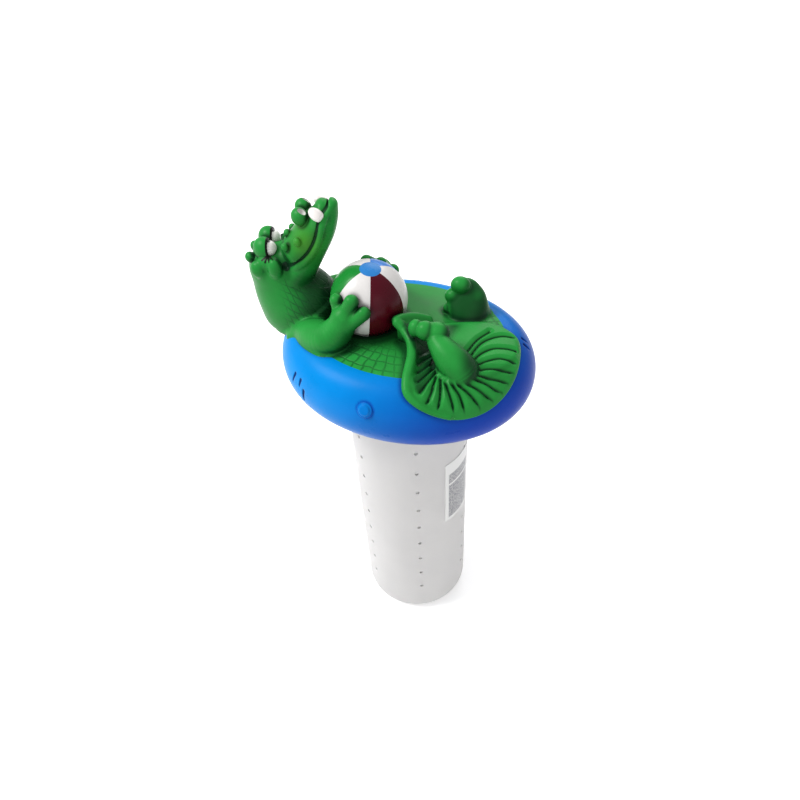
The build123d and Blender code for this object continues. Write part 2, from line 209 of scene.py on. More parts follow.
def snout_field(Q):
    f = cone(squeeze(Q, 0.64), (15.5, 0, 338.5), (33, 0, 359.5), 10.6, 8.0)
    return smin(f, cone(squeeze(Q, 0.8), (17, 0, 346), (25, 0, 356), 5.0, 6.0), 3.0)


def jaw_core(Q):
    return tube(
        squeeze(Q, 0.66),
        [(12.5, 0, 322, 12.0), (24.6, 0, 338, 9.6), (34.8, 0, 352, 7.4),
         (40.2, 0, 362.5, 5.5), (42.4, 0, 369.4, 4.0)],
    )


def skull_field(Q):
    f = ellipsoid(Q, (-1.5, 0, 322), (20.5, 18.5, 15.5))
    return smin(f, snout_field(Q), 4.5)


def mirrored(Q):
    q = Q.copy()
    q[:, 1] = np.abs(q[:, 1])
    return q


def mouth_groove(M):
    path = [(*p, 0.85) for p in MOUTH_LINE]
    g = tube(M, path, 4)
    return smin(g, ball(M, MOUTH_CORNER, 2.8), 1.0)


def head_parts(P):
    """Upper head: skull, snout, brow, nostrils and bumps."""
    Q = to_head(P)
    M = mirrored(Q)
    f = skull_field(Q)
    f = smin(f, ellipsoid(Q, (36.0, 0, 367.0), (5.2, 7.5, 5.5)), 3.0)
    f = smin(f, ellipsoid(M, (34.5, 8.5, 363.0), (5.0, 4.5, 5.5)), 2.5)
    f = smin(f, ball(M, (21.5, 6.6, 363.2), 5.7), 1.4)
    f = smax(f, -ellipsoid(M, NOSTRIL_PIT, NOSTRIL_RADII), 0.8)
    # knobs behind the eyes and round the cheeks
    f = smin(f, ellipsoid(M, (1.0, 17.0, 330.5), (5.0, 4.4, 7.0)), 1.6)
    f = smin(f, ellipsoid(M, (-11.5, 15.4, 328.0), (5.6, 4.6, 6.0)), 2.0)
    f = smin(f, ball(M, (-18.4, 7.5, 332.0), 3.7), 0.9)
    f = smin(f, ellipsoid(M, (-4.5, 13.4, 332.2), (7.5, 4.8, 5.0)), 1.5)
    # small round warts on the bridge
    for wart in WARTS:
        f = smin(f, ball(Q, wart, WART_RADIUS), 0.7)
    f = smax(f, -mouth_groove(M), 0.9)
    return smax(f, -ball(M, EYE_CENTRE, EYE_RADIUS + 0.15), 0.4)


def jaw_parts(P):
    """Lower jaw and the raised lip below the mouth line."""
    Q = to_head(P)
    M = mirrored(Q)
    f = jaw_core(Q)
    lip = [(p[0] + 2.0, p[1] - 0.3, p[2] - 1.9, 1.9) for p in MOUTH_LINE[1:]]
    f = smin(f, tube(M, lip, 4), 1.6)
    f = smax(f, -mouth_groove(M), 0.9)
    return f


def lid_field(P):
    """Both eyelids: a cap behind each eye, cut flat along its front edge."""
    M = mirrored(to_head(P))
    f = ellipsoid(M, LID_CENTRE, LID_RADII)
    f = smax(f, M[:, 0] + 3.2, 0.7)
    return smax(f, -ball(M, EYE_CENTRE, EYE_RADIUS - 0.4), 0.3)


# ---------------------------------------------------------------- neck, limbs and tail

def neck_field(P):
    Q = to_head(P)
    f = tube(
        squeeze(Q, 1.18),
        [(-0.5, 0, 318, 21.5), (2, 0, 311, 24.2), (5.4, 0, 302, 27.2), (12, 0, 291, 31.6)],
    )
    f = smax(f, 277.0 - P[:, 2], 9.0)
    return f


def near_arm(P):
    """The arm with its three fingers round the ball."""
    f = tube(
        P,
        [(-70, -26, 282.5, 7.0), (-60, -24.5, 287, 11.0), (-50, -30, 290, 12.6),
         (-38, -35, 295.5, 11.8), (-30, -33, 305, 9.4), (-27, -31, 312, 8.6)],
    )
    f = smin(f, cone(P, (-31, -28, 313), (-33.4, -27, 321.5), 4.6, 4.3), 2.0)
    f = smin(f, cone(P, (-27, -32, 313), (-21.4, -29.2, 324.2), 4.6, 4.7), 2.0)
    f = smin(f, cone(P, (-23, -33.5, 309), (-13.4, -29.8, 317.8), 4.6, 4.5), 2.0)
    return f


def far_arm(P):
    f = tube(
        P,
        [(-64, 18, 290, 14.5), (-52, 27, 291.5, 14.2), (-40, 32, 297, 12.0),
         (-31, 28, 308, 9.4), (-27, 24, 315, 8.6)],
    )
    f = smin(f, cone(P, (-28, 22, 319), (-31.0, 12.8, 327.6), 4.6, 4.3), 2.0)
    f = smin(f, cone(P, (-25, 24, 317), (-21.0, 13.6, 327.4), 4.6, 4.2), 2.0)
    f = smin(f, cone(P, (-21, 25, 314), (-13.4, 15.6, 322.6), 4.6, 4.2), 2.0)
    return f


def near_leg(P):
    f = tube(
        P,
        [(50.2, -31.5, 290.5, 12.2), (46.6, -31.5, 296.3, 10.8), (40.2, -29.2, 301.4, 8.7),
         (34.4, -26.0, 304.8, 6.8), (32.0, -23.5, 306.4, 6.0)],
        n=12,
    )
    f = smin(f, ellipsoid(P, (31.8, -21.6, 309.2), (8.2, 6.6, 6.4)), 0.8)
    f = smin(f, ellipsoid(P, (25.2, -24.2, 310.4), (6.1, 5.8, 6.4)), 1.3)
    f = smin(f, ellipsoid(P, (18.8, -23.6, 310.2), (4.9, 5.0, 6.0)), 0.5)
    return f


# The far foot shows its sole: its directions, then its centre and half sizes along them.
SOLE_OUT = unit((0.35, -0.68, 0.62))
SOLE_RIGHT = unit(np.cross(SOLE_OUT, (0, 0, 1)))
SOLE_AXES = np.array([SOLE_RIGHT, np.cross(SOLE_RIGHT, SOLE_OUT), SOLE_OUT])
SOLE = ((34.8, 27.0, 298.5), (13.0, 18.5, 8.0))


def far_leg(P):
    f = tube(P, [(42, 31, 288, 9.0), (40, 31.5, 295, 8.5), (38, 32, 301, 8.0)])
    f = smin(f, ellipsoid(P, *SOLE, SOLE_AXES), 2.5)
    f = smin(f, ellipsoid(P, (29.5, 28.5, 312.2), (6.8, 5.8, 6.0)), 1.8)
    f = smin(f, ellipsoid(P, (25.2, 26.0, 304.4), (5.8, 5.2, 5.4)), 1.4)
    f = smin(f, ellipsoid(P, (24.0, 23.6, 296.0), (4.8, 4.4, 4.4)), 1.2)
    return f


# The tail spreads as a fan round a centre under the near leg. Its rim, in order round it.
FAN_CENTRE = np.array([47.6, -26.8])
FAN_RIM = [
    (61.6, 19.8, 293.8), (72.8, 13.8, 293.0), (78.5, 6.2, 291.4), (81.5, -4.1, 289.7),
    (82.5, -11.4, 287.8), (82.4, -19.7, 285.0), (80.5, -29.8, 281.4),
    (75.8, -39.7, 277.8), (69.5, -47.4, 275.8), (61.8, -53.9, 275.5),
    (54.0, -58.5, 276.8), (45.6, -61.6, 280.2), (37.9, -62.6, 283.7),
    (30.7, -61.7, 287.5), (26.4, -58.5, 290.4), (24.0, -52.0, 293.6),
    (22.6, -45.0, 296.0), (20.6, -35.5, 298.5), (16.0, -26.0, 301.5),
    (8.8, -20.4, 305.0), (3.0, -17.4, 308.4), (8.5, -6.0, 304.5), (16.0, 2.0, 299.0),
    (26.0, 8.0, 295.0), (40.0, 15.5, 294.0), (52.0, 20.5, 294.0),
]


def fan_tables():
    """Direction, distance and height of the rim, seen from the fan's centre."""
    rim = spline(FAN_RIM + [FAN_RIM[0]], 8)
    d = rim[:, :2] - FAN_CENTRE
    angle = np.arctan2(d[:, 1], d[:, 0])
    radius = np.hypot(d[:, 0], d[:, 1])
    order = np.argsort(angle)
    return angle[order], radius[order], rim[order, 2]


FAN_ANGLE, FAN_RADIUS, FAN_HEIGHT = fan_tables()


def fan_coordinates(P):
    """Distance from the fan's centre, and the rim's distance and height on that side."""
    d = P[:, :2] - FAN_CENTRE
    phi = np.arctan2(d[:, 1], d[:, 0])
    rho = np.hypot(d[:, 0], d[:, 1])
    edge = np.interp(phi, FAN_ANGLE, FAN_RADIUS, period=2 * math.pi)
    height = np.interp(phi, FAN_ANGLE, FAN_HEIGHT, period=2 * math.pi)
    return rho, edge, height


# Grooves between the ribs of the tail fan, from beside the near leg out to its rim.
FAN_GROOVES = [
    [(49.4, -14.9), (51.7, -1.6), (56.4, 9.7)],
    [(52.5, -19.5), (54.4, -6.2), (58.7, 2.5), (65.2, 8.4), (73.0, 10.0)],
    [(55.2, -22.3), (58.4, -13.0), (63.7, -6.0), (70.9, -3.0), (77.4, -2.0)],
    [(58.5, -25.4), (63.3, -19.1), (69.6, -13.7), (75.9, -12.0), (79.8, -10.5)],
    [(61.3, -28.9), (66.3, -25.1), (72.2, -22.3), (78.1, -18.9), (80.4, -17.5)],
    [(62.6, -32.7), (68.2, -30.9), (74.1, -27.9), (79.4, -25.4)],
    [(62.0, -35.8), (67.3, -34.6), (73.8, -33.6), (78.0, -31.9)],
    [(60.2, -40.2), (65.7, -39.8), (70.2, -39.6), (74.1, -38.8)],
    [(57.0, -43.9), (61.8, -44.6), (66.0, -45.4), (68.4, -46.0)],
    [(52.8, -46.2), (56.3, -48.1), (59.3, -50.7), (60.8, -52.2)],
    [(48.3, -47.9), (51.1, -50.8), (53.8, -53.6), (55.1, -55.5)],
    [(44.1, -47.9), (45.8, -53.2), (46.4, -57.2), (46.4, -59.0)],
    [(40.0, -47.4), (40.4, -53.6), (39.9, -58.3), (39.4, -60.0)],
    [(37.2, -44.7), (35.7, -51.9), (34.0, -56.1)],
    [(34.3, -40.8), (32.4, -46.5), (30.8, -50.9)],
    [(32.0, -35.0), (29.8, -39.9), (27.6, -43.9)],
    [(29.6, -29.0), (27.3, -33.6), (25.5, -38.7)],
    [(27.1, -22.5), (25.5, -27.6), (24.1, -32.9)],
]
GROOVE_LOW, GROOVE_STEP, GROOVE_CELLS = np.array([-5.0, -75.0]), 0.5, 200
GROOVE_FAR = 9.0
RIB_HALF_WIDTH, RIB_HEIGHT = 3.0, 2.9


def groove_table(curves):
    """Distance in plan to the nearest groove, on a grid over the tail."""
    x, y = GROOVE_LOW[:, None] + GROOVE_STEP * np.arange(GROOVE_CELLS)
    G = np.stack(np.meshgrid(x, y, indexing="ij"), -1).reshape(-1, 2)
    out = np.full(len(G), GROOVE_FAR)
    for curve in curves:
        curve = np.array(curve, float)
        path = spline(np.vstack([curve[0] * 1.7 - curve[1] * 0.7, curve]), 6)
        for a, b in zip(path, path[1:]):
            d = b - a
            t = np.clip(((G - a) @ d) / (d @ d), 0, 1)
            out = np.minimum(out, norm(G - a - t[:, None] * d))
    return out.reshape(GROOVE_CELLS, GROOVE_CELLS)


GROOVES = groove_table(FAN_GROOVES)


def groove_distance(P):
    """The table's value at each point, read between its grid lines."""
    q = (P[:, :2] - GROOVE_LOW) / GROOVE_STEP
    q = np.clip(q, 0, np.array(GROOVES.shape) - 1.001)
    i = q.astype(int)
    t = q - i
    a = GROOVES[i[:, 0], i[:, 1]] * (1 - t[:, 0]) + GROOVES[i[:, 0] + 1, i[:, 1]] * t[:, 0]
    b = (GROOVES[i[:, 0], i[:, 1] + 1] * (1 - t[:, 0])
         + GROOVES[i[:, 0] + 1, i[:, 1] + 1] * t[:, 0])
    return a * (1 - t[:, 1]) + b * t[:, 1]


def tail_field(P):
    """The fan: it rises to its rim, with ribs between the grooves and a rounded edge."""
    rho, edge, height = fan_coordinates(P)
    u = rho / edge
    side = (rho - edge) * 0.85
    left = smoothstep(height, 292.0, 296.0) * smoothstep(-P[:, 0], -34, -22)
    lift = 291.0 + (height - 291.0) * smoothstep(u, 0.30, 1.0)
    top = P[:, 2] - lift
    rest = smin(ring_field(P), deck_field(P), 2.0) - 2.4
    f = smin(rest, top * 0.85 + 6.0 * (1 - left), 3.0)
    g = np.minimum(groove_distance(P) / RIB_HALF_WIDTH, 1.0)
    fade = smoothstep(u, 0.12, 0.25) * (1 - 0.6 * left) * smoothstep(edge - rho, 1.0, 5.0)
    f = f - RIB_HEIGHT * (np.sqrt(g) - 0.8) * fade
    f = smax(f, side, 3.0)
    f = smax(f, (left * 268.0 + (1 - left) * (height - 2.2)) - P[:, 2], 1.0)
    rim = [(*p, min(3.2, 0.4 + 0.6 * i)) for i, p in enumerate(FAN_RIM[10:23])]
    return smin(f, tube(P, rim, 3), 3.0)


# Each green part: its field and a box round it. BLEND: how softly it melts into the rest.
PARTS = {
    "torso": (deck_field, (-80, -62, 280), (80, 62, 300)),
    "neck": (neck_field, (-130, -50, 270), (-40, 50, 362)),
    "head": (head_parts, (-125, -40, 300), (-35, 45, 385)),
    "jaw": (jaw_parts, (-100, -40, 300), (-30, 45, 385)),
    "lids": (lid_field, (-115, -30, 325), (-75, 30, 360)),
    "arm_right": (near_arm, (-85, -60, 270), (5, -5, 335)),
    "arm_left": (far_arm, (-85, -5, 270), (5, 55, 345)),
    "leg_right": (near_leg, (5, -60, 270), (75, -3, 322)),
    "leg_left": (far_leg, (12, 8, 270), (75, 55, 328)),
    "tail": (tail_field, (-10, -75, 262), (95, 40, 315)),
}
BLEND = {
    "torso": 3.0, "neck": 5.0, "head": 4.0, "jaw": 2.0, "lids": 0.8, "arm_right": 3.0,
    "arm_left": 3.0, "leg_right": 1.5, "leg_left": 2.0, "tail": 1.2,
}
# Beyond this distance a part no longer counts.
FAR_AWAY = 14.0


def part_value(name, P):
    """One part's field, worked out only near the part."""
    fn, low, high = PARTS[name]
    low, high = np.array(low) - FAR_AWAY, np.array(high) + FAR_AWAY
    inside = np.all((P > low) & (P < high), axis=1)
    out = np.full(len(P), FAR_AWAY)
    if inside.any():
        out[inside] = np.minimum(fn(P[inside]), FAR_AWAY)
    return out


def gator(P, wanted=None):
    """All green parts melted together. With wanted, also how far a point is from the
    share of the skin that belongs to that part (negative inside its share)."""
    total = None
    mine, others = None, np.full(len(P), FAR_AWAY)
    for name in PARTS:
        v = part_value(name, P)
        if name == wanted:
            mine = v
        elif wanted is not None:
            others = np.minimum(others, v)
        total = v if total is None else smin(total, v, BLEND[name])
    near = (P[:, 2] > 325) & (P[:, 0] < -70)
    if near.any():
        socket = ball(mirrored(to_head(P[near])), EYE_CENTRE, EYE_RADIUS + 0.05)
        total[near] = np.maximum(total[near], -socket)
    if wanted is None:
        return total
    return total, (mine - others) * 0.5


# ---------------------------------------------------------------- meshing

def sample(field, low, high, step):
    """Field values on a grid. Fine values are worked out only near the surface."""
    low, high = np.asarray(low, float), np.asarray(high, float)
    k = 4
    big = step * k
    n = np.ceil((high - low) / big).astype(int) + 1
    axes = [low[i] + big * np.arange(n[i] + 1) for i in range(3)]
    G = np.stack(np.meshgrid(*axes, indexing="ij"), -1).reshape(-1, 3)
    coarse = in_chunks(field, G).reshape(n + 1)
    cells = coarse[:-1, :-1, :-1]
    near = np.zeros(cells.shape, bool)
    reach = big * 1.9
    for dx in (0, 1):
        for dy in (0, 1):
            for dz in (0, 1):
                c = coarse[dx:dx + n[0], dy:dy + n[1], dz:dz + n[2]]
                near |= np.abs(c) < reach
    fine = np.repeat(np.repeat(np.repeat(cells, k, 0), k, 1), k, 2)
    mask = np.repeat(np.repeat(np.repeat(near, k, 0), k, 1), k, 2)
    fine = np.where(fine > 0, 3 * step, -3 * step)
    idx = np.argwhere(mask)
    pts = low + idx * step
    fine[mask] = np.clip(in_chunks(field, pts), -3 * step, 3 * step)
    return fine, low


def in_chunks(field, P, size=400000):
    if not len(P):
        return np.zeros(0)
    return np.concatenate([field(P[i:i + size]) for i in range(0, len(P), size)])


CORNERS = np.array([(1, -1, -1), (-1, -1, 1), (-1, 1, -1), (1, 1, 1)], float)


def gradient(field, P, h):
    """Slope of the field from four points around each place."""
    g = np.zeros_like(P)
    for k in CORNERS:
        g += in_chunks(field, P + k * h)[:, None] * k
    return g / (4 * h)


def surface(field, low, high, step):
    """Points and four-sided faces of field = 0, pulled exactly onto it."""
    margin = 3 * step
    values, origin = sample(field, np.asarray(low) - margin, np.asarray(high) + margin, step)
    grid = openvdb.FloatGrid(background=3 * step)
    grid.copyFromArray(values.astype(np.float32))
    pts, tris, quads = grid.convertToPolygons(isovalue=0.0, adaptivity=0.0)
    P = pts.astype(float) * step + origin
    if not len(P):
        return P.reshape(0, 3), []
    g = gradient(field, P, 0.25 * step)
    f = in_chunks(field, P)
    move = (f / np.maximum(np.einsum("ij,ij->i", g, g), 0.25))[:, None] * g
    size = norm(move)
    P -= move * np.minimum(1.0, 0.6 * step / np.maximum(size, 1e-9))[:, None]
    return P, quads.tolist() + tris.tolist()


# Step of the finely meshed zones, and how far they lap over the coarse mesh round them.
ZONE_STEP, ZONE_OVERLAP = 0.4, 2.0


def zone_box(P, zone, inset=0.0):
    low, high = np.array(zone[0], float), np.array(zone[1], float)
    middle, half = (low + high) / 2, (high - low) / 2 - inset
    return np.max(np.abs(P - middle) - half, axis=1)


def outside_zones(f, P, zones):
    for zone in zones:
        f = np.maximum(f, -zone_box(P, zone, ZONE_OVERLAP))
    return f


def sculpt(name, field, low, high, step, paint=None, skin=None, scales=None, zones=()):
    """Mesh of field <= 0. skin: the field whose slope gives the shading direction.
    zones: boxes that are meshed again with a finer step."""
    step = step * DETAIL
    P, faces = surface(lambda Q: outside_zones(field(Q), Q, zones), low, high, step)
    for zone in zones:
        more, more_faces = surface(
            lambda Q: np.maximum(field(Q), zone_box(Q, zone)), *zone, ZONE_STEP * DETAIL)
        if not len(more):
            continue
        faces += [[v + len(P) for v in face] for face in more_faces]
        P = np.vstack([P, more])
    mesh = bpy.data.meshes.new(name)
    mesh.from_pydata((P * MM).tolist(), [], faces)
    mesh.update()
    mesh.shade_smooth()
    shade = skin if skin is not None else field
    n = gradient(shade, P, 0.25 * step)
    n /= np.maximum(norm(n), 1e-9)[:, None]
    if skin is not None:
        flat = np.abs(in_chunks(skin, P)) > 0.35 * step
        own = gradient(field, P[flat], 0.25 * step)
        n[flat] = own / np.maximum(norm(own), 1e-9)[:, None]
    mesh.normals_split_custom_set_from_vertices(n.tolist())
    if paint is not None:
        colour = paint(P, n)
        rgba = np.ones((len(P), 4), np.float32)
        rgba[:, :3] = colour
        attribute = mesh.color_attributes.new("paint", "FLOAT_COLOR", "POINT")
        attribute.data.foreach_set("color", rgba.ravel())
    if scales is not None:
        attribute = mesh.attributes.new("scales", "FLOAT_VECTOR", "POINT")
        attribute.data.foreach_set("vector", scales(P).astype(np.float32).ravel())
    obj = bpy.data.objects.new(name, mesh)
    bpy.context.scene.collection.objects.link(obj)
    return obj


# ---------------------------------------------------------------- painted colours

# Skin colours. The lighter green is a painted highlight and the dark green is mostly painted
# shade.
GREEN = np.array([0.010, 0.165, 0.024])
HIGHLIGHT_GREEN = np.array([0.022, 0.29, 0.048])
LIME = np.array([0.050, 0.22, 0.014])
DARK_GREEN = np.array([0.003, 0.026, 0.009])
BLACK = np.array([0.004, 0.004, 0.004])
PALE = np.array([0.62, 0.60, 0.58])


def mix(a, b, t):
    t = np.clip(t, 0, 1)[:, None]
    return a * (1 - t) + b * t


def whole_skin(P):
    """Every solid near the skin, for the painted shade in its hollows."""
    f = gator(P)
    f = np.minimum(f, ball(P, BALL_CENTRE, BALL_RADIUS))
    return np.minimum(f, ring_field(P))


def hollow(P, n, reach):
    """0 in the open, 1 where other skin lies at that distance over the surface."""
    f = in_chunks(whole_skin, P + n * reach)
    return np.clip(1 - f / reach, 0, 1)


# Height of one scored row on the belly and on the neck, and how dark the lines are.
DECK_ROW, NECK_ROW, SCORE_STRENGTH = 6.6, 3.8, 0.6


def deck_scales(P):
    """Row number, column number and strength of the scored scales on the belly."""
    inset = -oval_distance(P, DECK_HALF_LENGTH, DECK_HALF_WIDTH)
    turn = np.arctan2(P[:, 1] / DECK_HALF_WIDTH, P[:, 0] / DECK_HALF_LENGTH)
    front = np.exp(-(((P[:, 0] + 18) / 34) ** 4 + ((P[:, 1] + 44) / 17) ** 4))
    back = np.exp(-(((P[:, 0] - 52) / 17) ** 4 + ((P[:, 1] - 16) / 17) ** 4))
    strength = np.maximum(front, back)
    columns = turn * 9.0 + inset * 0.02
    return np.stack([inset / DECK_ROW + 0.4, columns, SCORE_STRENGTH * strength], 1)


def neck_scales(P):
    """The same for the front of the neck."""
    Q = to_head(P)
    turn = np.arctan2(Q[:, 1], Q[:, 0] + 8.0)
    row = Q[:, 2] * 0.8 + Q[:, 0] * 0.35
    strength = smoothstep(Q[:, 0], 0, 12) * smoothstep(P[:, 2], 286, 292)
    strength *= smoothstep(334 - P[:, 2], 0, 10) * smoothstep(-P[:, 0], 44, 52)
    columns = turn * 7.5 + row * 0.06
    return np.stack([row / NECK_ROW, columns, SCORE_STRENGTH * strength], 1)


# The side given painted shade, away from the key light, how softly that shade ends on the arms
# and legs, and the painted lashes of one eye.
SHADE = unit((0.92, 0.25, -0.28))
LIMB_FADE = 1.2
LASH_ROOT = (-3.2, 13.1, 337.9)
LASHES = [
    [LASH_ROOT, (-4.5, 14.4, 337.2), (-5.9, 15.7, 336.5), (-7.2, 16.4, 335.7)],
    [LASH_ROOT, (-3.7, 14.8, 337.0), (-4.3, 16.5, 336.0), (-4.9, 17.5, 334.9)],
    [LASH_ROOT, (-2.8, 14.5, 336.9), (-2.3, 16.4, 336.3), (-1.7, 18.2, 335.8)],
    [LASH_ROOT, (-2.1, 13.4, 336.9), (-0.6, 14.9, 336.7), (1.0, 17.4, 337.2)],
]


def near_skin(name, P, fade=0.7):
    """1 on the skin of that part, 0 at the distance fade outside it."""
    return smoothstep(-part_value(name, P), -fade, -0.2)


def green_paint(P, n):
    """The skin's colour: green with a painted highlight on upward faces, painted shade in the
    hollows and on shaded sides, with painted details.
    """
    near = hollow(P, n, 2.2)
    wide = hollow(P, n, 8.0)
    c = np.tile(GREEN, (len(P), 1))
    # painted highlight on faces that look up, away from the hollows
    c = mix(c, HIGHLIGHT_GREEN, 0.55 * np.clip(1 - 2.2 * near, 0, 1) * smoothstep(n[:, 2], -0.2, 0.9))
    # painted shade in the wide and the narrow hollows
    c = mix(c, DARK_GREEN, 0.75 * smoothstep(wide, 0.25, 0.85))
    c = mix(c, DARK_GREEN, 0.9 * smoothstep(near, 0.25, 0.8))
    Q = to_head(P)
    M = mirrored(Q)
    # painted shade on the throat and front of the neck
    front = smoothstep(Q[:, 0], 4, 24) * smoothstep(332 - P[:, 2], 0, 14)
    front *= smoothstep(P[:, 2], 286, 300) * smoothstep(-P[:, 0], 38, 50)
    front *= smoothstep(part_value("arm_right", P), 0.5, 5.0)
    front *= smoothstep(part_value("arm_left", P), 0.5, 5.0)
    c = mix(c, DARK_GREEN, 0.85 * front)
    # yellow-green cheeks on the snout
    cheek = np.exp(-((M[:, 0] - 24) ** 2 + (M[:, 2] - 349) ** 2) / 90.0)
    c = mix(c, LIME, 0.7 * cheek * (M[:, 2] > 330))
    # black mouth corner, black lid edge, pale nostril pits
    c = mix(c, BLACK, smoothstep(-ball(M, MOUTH_CORNER, 3.2), -0.3, 0.5))
    groove = mouth_groove(M)
    c = mix(c, DARK_GREEN, 0.9 * smoothstep(-groove, -0.6, 0.0) * (M[:, 2] > 328))
    pit = ellipsoid(M, NOSTRIL_PIT, NOSTRIL_RADII)
    c = mix(c, PALE, smoothstep(-pit, -0.35, 0.05))
    lid_edge = smoothstep(M[:, 0], -4.5, -4.1) * (M[:, 2] > 333)
    c = mix(c, BLACK, lid_edge * smoothstep(-lid_field(P), -0.5, -0.2))
    # painted shade on the inner side of the raised edge of the tail
    rho, edge, height = fan_coordinates(P)
    inner = smoothstep(-P[:, 0], -40.0, -33.0) * smoothstep(edge - rho, 3.5, 7.0)
    inner *= smoothstep(height, 284.0, 288.0)
    inner *= near_skin("tail", P)
    c = mix(c, DARK_GREEN, 0.7 * inner)
    # painted shade in the grooves between the ribs of the tail
    groove_shade = np.exp(-((groove_distance(P) / 0.6) ** 2))
    c = mix(c, DARK_GREEN, 0.7 * groove_shade * near_skin("tail", P))
    # painted lashes under the near corner of each eye
    for lash in LASHES:
        for a, b in zip(lash, lash[1:]):
            c = mix(c, BLACK, smoothstep(-cone(M, a, b, 0.65, 0.55), -0.3, 0.1))
    # painted shade on the sides of the near arm and leg and the far foot that face away from the
    # key light
    shaded = smoothstep(n @ SHADE, -0.10, 0.60)
    arm_shade = smoothstep(n @ SHADE, 0.1, 0.85)
    c = mix(c, DARK_GREEN, 0.65 * arm_shade * near_skin("arm_right", P, LIMB_FADE))
    c = mix(c, DARK_GREEN, 0.9 * shaded * near_skin("leg_right", P, LIMB_FADE))
    c = mix(c, DARK_GREEN, 0.6 * shaded * near_skin("leg_left", P, LIMB_FADE))
    # painted shade on the sole of the far foot, where it faces out
    sole = ellipsoid(P, *SOLE, SOLE_AXES)
    facing = smoothstep(n @ SOLE_OUT, 0.35, 0.8)
    c = mix(c, DARK_GREEN, 0.75 * facing * smoothstep(-sole, -2.0, -0.2))
    return c


# ---------------------------------------------------------------- materials

def material(name, rough=0.35, coat=0.0, bump=0.02, bump_scale=900.0, colour=None,
             attribute=None, mottle=0.12, mottle_scale=60.0, subsurface=0.0,
             scored=False, see_through=0.0, shine=0.3):
    """Painted or moulded plastic: colour mottling, fine grain and uneven gloss."""
    m = bpy.data.materials.new(name)
    m.use_nodes = True
    nodes, links = m.node_tree.nodes, m.node_tree.links
    shader = nodes["Principled BSDF"]
    shader.inputs["Coat Weight"].default_value = coat
    shader.inputs["Coat Roughness"].default_value = 0.15
    shader.inputs["Specular IOR Level"].default_value = shine
    shader.inputs["Subsurface Weight"].default_value = subsurface
    shader.inputs["Subsurface Radius"].default_value = (0.01, 0.01, 0.01)
    shader.inputs["Transmission Weight"].default_value = see_through
    place = nodes.new("ShaderNodeTexCoord")
    noise = nodes.new("ShaderNodeTexNoise")
    noise.inputs["Scale"].default_value = mottle_scale
    noise.inputs["Detail"].default_value = 4.0
    links.new(place.outputs["Object"], noise.inputs["Vector"])
    ramp = nodes.new("ShaderNodeMapRange")
    ramp.inputs["From Min"].default_value = 0.3
    ramp.inputs["From Max"].default_value = 0.7
    ramp.inputs["To Min"].default_value = 1.0 - mottle
    ramp.inputs["To Max"].default_value = 1.0 + mottle
    links.new(noise.outputs["Fac"], ramp.inputs["Value"])
    tint = nodes.new("ShaderNodeVectorMath")
    tint.operation = "SCALE"
    if attribute:
        source = nodes.new("ShaderNodeAttribute")
        source.attribute_name = attribute
        links.new(source.outputs["Color"], tint.inputs[0])
    else:
        tint.inputs[0].default_value = colour
    links.new(ramp.outputs["Result"], tint.inputs["Scale"])
    lines = score_lines(m.node_tree) if scored else None
    if scored:
        darken = nodes.new("ShaderNodeMix")
        darken.data_type = "RGBA"
        links.new(lines, darken.inputs["Factor"])
        links.new(tint.outputs["Vector"], darken.inputs["A"])
        darken.inputs["B"].default_value = (0.006, 0.06, 0.016, 1)
        links.new(darken.outputs["Result"], shader.inputs["Base Color"])
    else:
        links.new(tint.outputs["Vector"], shader.inputs["Base Color"])
    gloss = nodes.new("ShaderNodeMapRange")
    gloss.inputs["From Min"].default_value = 0.3
    gloss.inputs["From Max"].default_value = 0.7
    gloss.inputs["To Min"].default_value = max(rough - 0.06, 0.02)
    gloss.inputs["To Max"].default_value = rough + 0.06
    links.new(noise.outputs["Fac"], gloss.inputs["Value"])
    links.new(gloss.outputs["Result"], shader.inputs["Roughness"])
    grain = nodes.new("ShaderNodeTexNoise")
    grain.inputs["Scale"].default_value = bump_scale
    grain.inputs["Detail"].default_value = 3.0
    links.new(place.outputs["Object"], grain.inputs["Vector"])
    relief = nodes.new("ShaderNodeBump")
    relief.inputs["Strength"].default_value = bump
    relief.inputs["Distance"].default_value = 0.0005
    links.new(grain.outputs["Fac"], relief.inputs["Height"])
    if scored:
        cut = nodes.new("ShaderNodeBump")
        cut.invert = True
        cut.inputs["Strength"].default_value = 0.6
        cut.inputs["Distance"].default_value = 0.0006
        links.new(lines, cut.inputs["Height"])
        links.new(relief.outputs["Normal"], cut.inputs["Normal"])
        relief = cut
    links.new(relief.outputs["Normal"], shader.inputs["Normal"])
    return m


def math_node(tree, kind, a, b=None, c=None):
    node = tree.nodes.new("ShaderNodeMath")
    node.operation = kind
    for socket, value in zip(node.inputs, (a, b, c)):
        if value is None:
            continue
        if isinstance(value, (int, float)):
            socket.default_value = value
        else:
            tree.links.new(value, socket)
    return node.outputs[0]


def ramp_node(tree, value, low, high, start=0.0, end=1.0):
    node = tree.nodes.new("ShaderNodeMapRange")
    node.interpolation_type = "SMOOTHSTEP"
    node.inputs["From Min"].default_value = low
    node.inputs["From Max"].default_value = high
    node.inputs["To Min"].default_value = start
    node.inputs["To Max"].default_value = end
    tree.links.new(value, node.inputs["Value"])
    return node.outputs["Result"]


